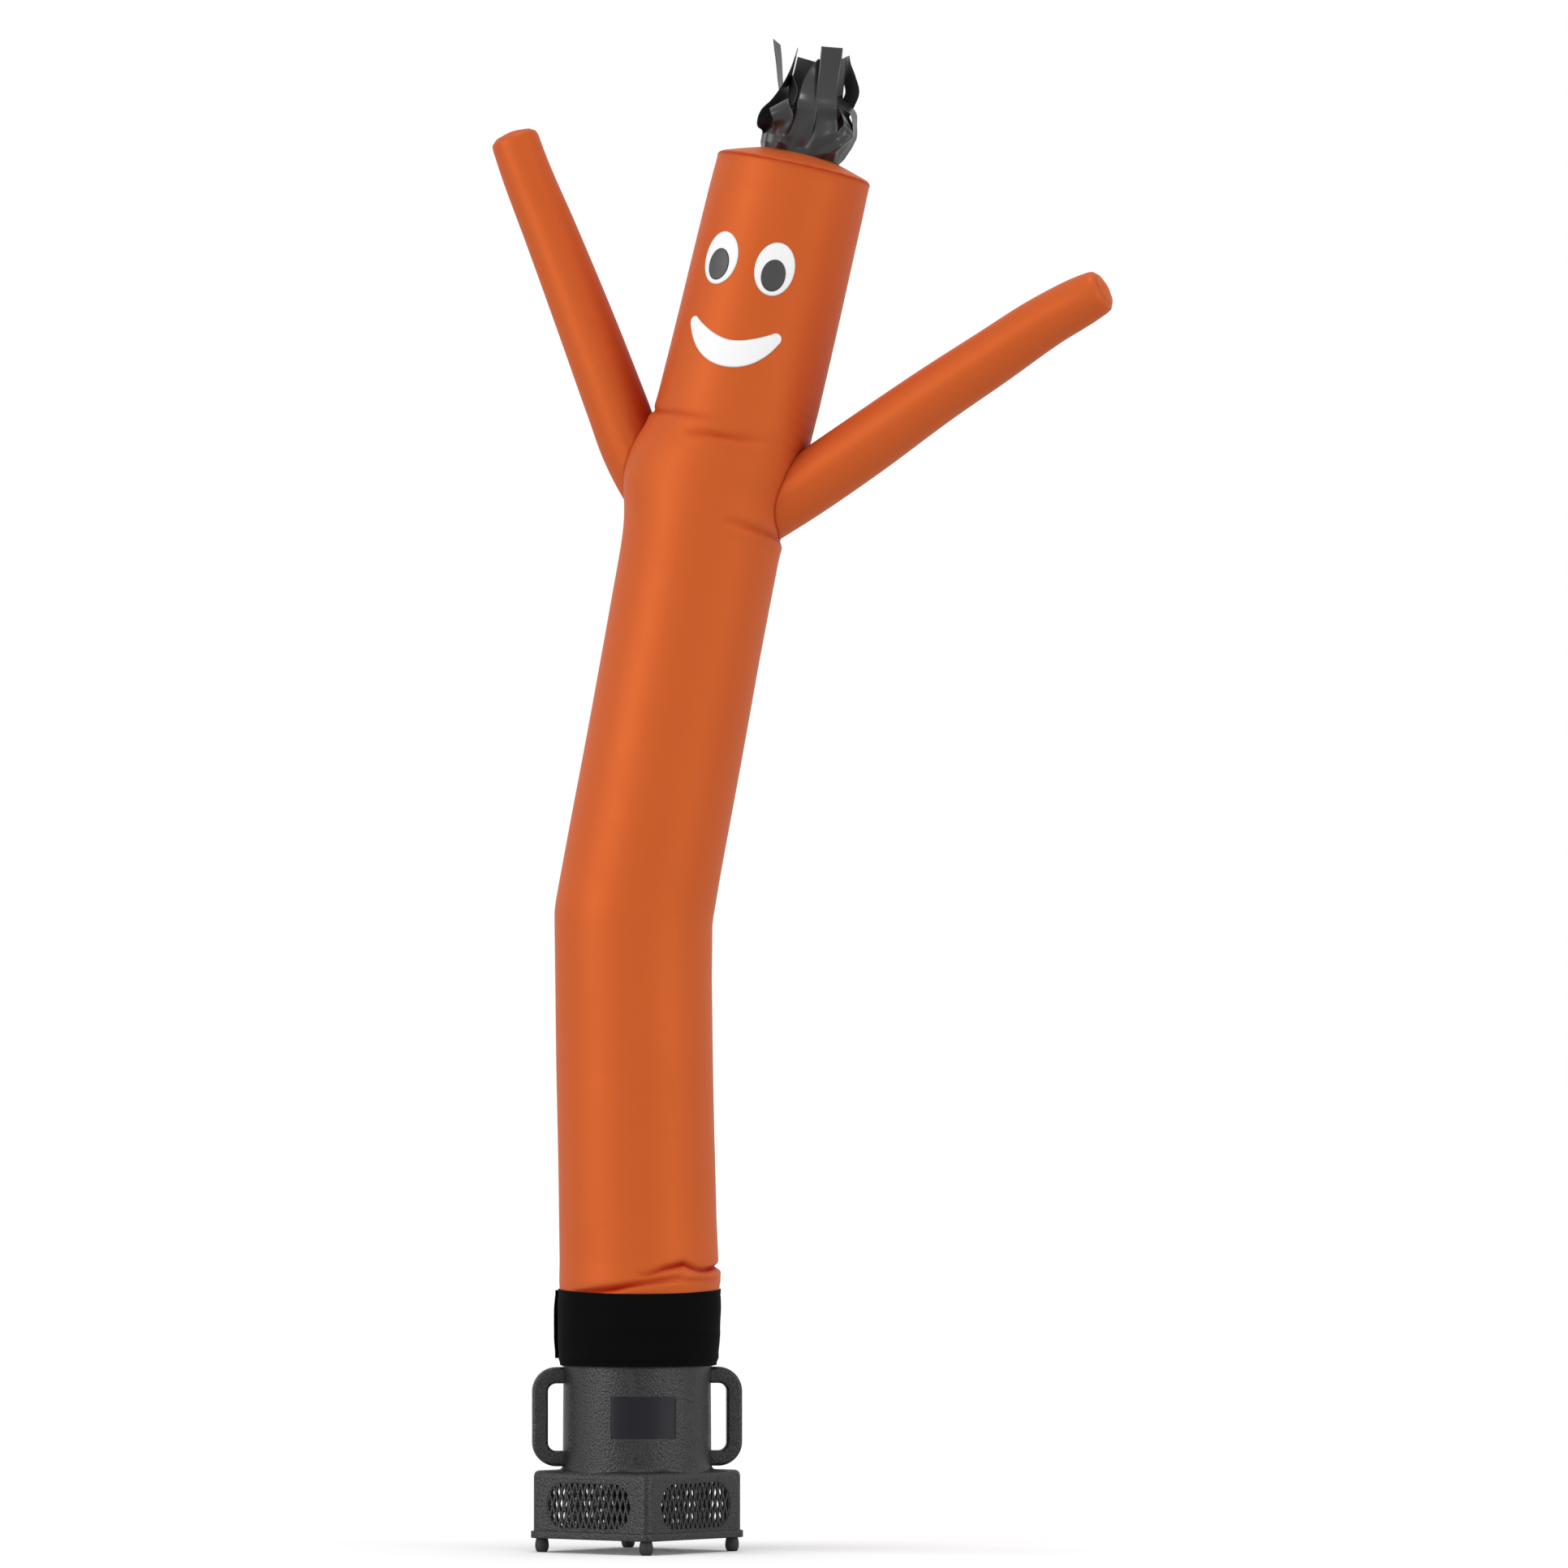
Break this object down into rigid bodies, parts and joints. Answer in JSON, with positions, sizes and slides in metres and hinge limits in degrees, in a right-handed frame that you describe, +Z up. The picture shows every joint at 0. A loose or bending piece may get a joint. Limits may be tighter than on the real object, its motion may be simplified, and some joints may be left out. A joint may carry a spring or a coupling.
{
  "type": "inflatable air dancer on its blower",
  "caption": "Ten-foot orange inflatable air dancer with a smiling face, raised arms and black streamer hair, its black sleeve gripped round a moulded floor blower with lattice windows and two bar handles.",
  "frame": {"origin": "middle of the floor under the object's whole outline; the blower's upright axis stands 0.341 m towards -X and 0.070 m towards +Y of it", "axes": "+Z up; -Y the blower's front, where its bare plate and one corner of its box point; +X the side to which the tube leans, along the two handles"},
  "size_m": [1.2457, 0.5971, 3.1209],
  "materials": {
    "orange_nylon": "satin",
    "white_cloth": "satin",
    "grey_cloth": "satin",
    "black_satin": "satin",
    "sleeve_cloth": "matte",
    "moulded_plastic": "matte",
    "foot_rubber": "matte",
    "plate_film": "gloss"
  },
  "bodies": {
    "root": {"body_tube": "orange_nylon", "top_cap": "orange_nylon", "arm_left": "orange_nylon", "arm_right": "orange_nylon", "arm_left_cap": "orange_nylon", "arm_right_cap": "orange_nylon", "hair": "black_satin", "eye_left": "white_cloth", "eye_right": "white_cloth", "pupil_left": "grey_cloth", "pupil_right": "grey_cloth", "mouth": "white_cloth", "cuff": "sleeve_cloth", "cuff_flap": "sleeve_cloth", "hook_band": "sleeve_cloth", "housing": "moulded_plastic", "base_tray": "moulded_plastic", "grille_front_left": "moulded_plastic", "grille_front_right": "moulded_plastic", "grille_back_left": "moulded_plastic", "grille_back_right": "moulded_plastic", "handle_left": "moulded_plastic", "handle_right": "moulded_plastic", "foot_front": "foot_rubber", "foot_back": "foot_rubber", "foot_left": "foot_rubber", "foot_right": "foot_rubber", "label_plate": "plate_film"}
  },
  "joints": []
}
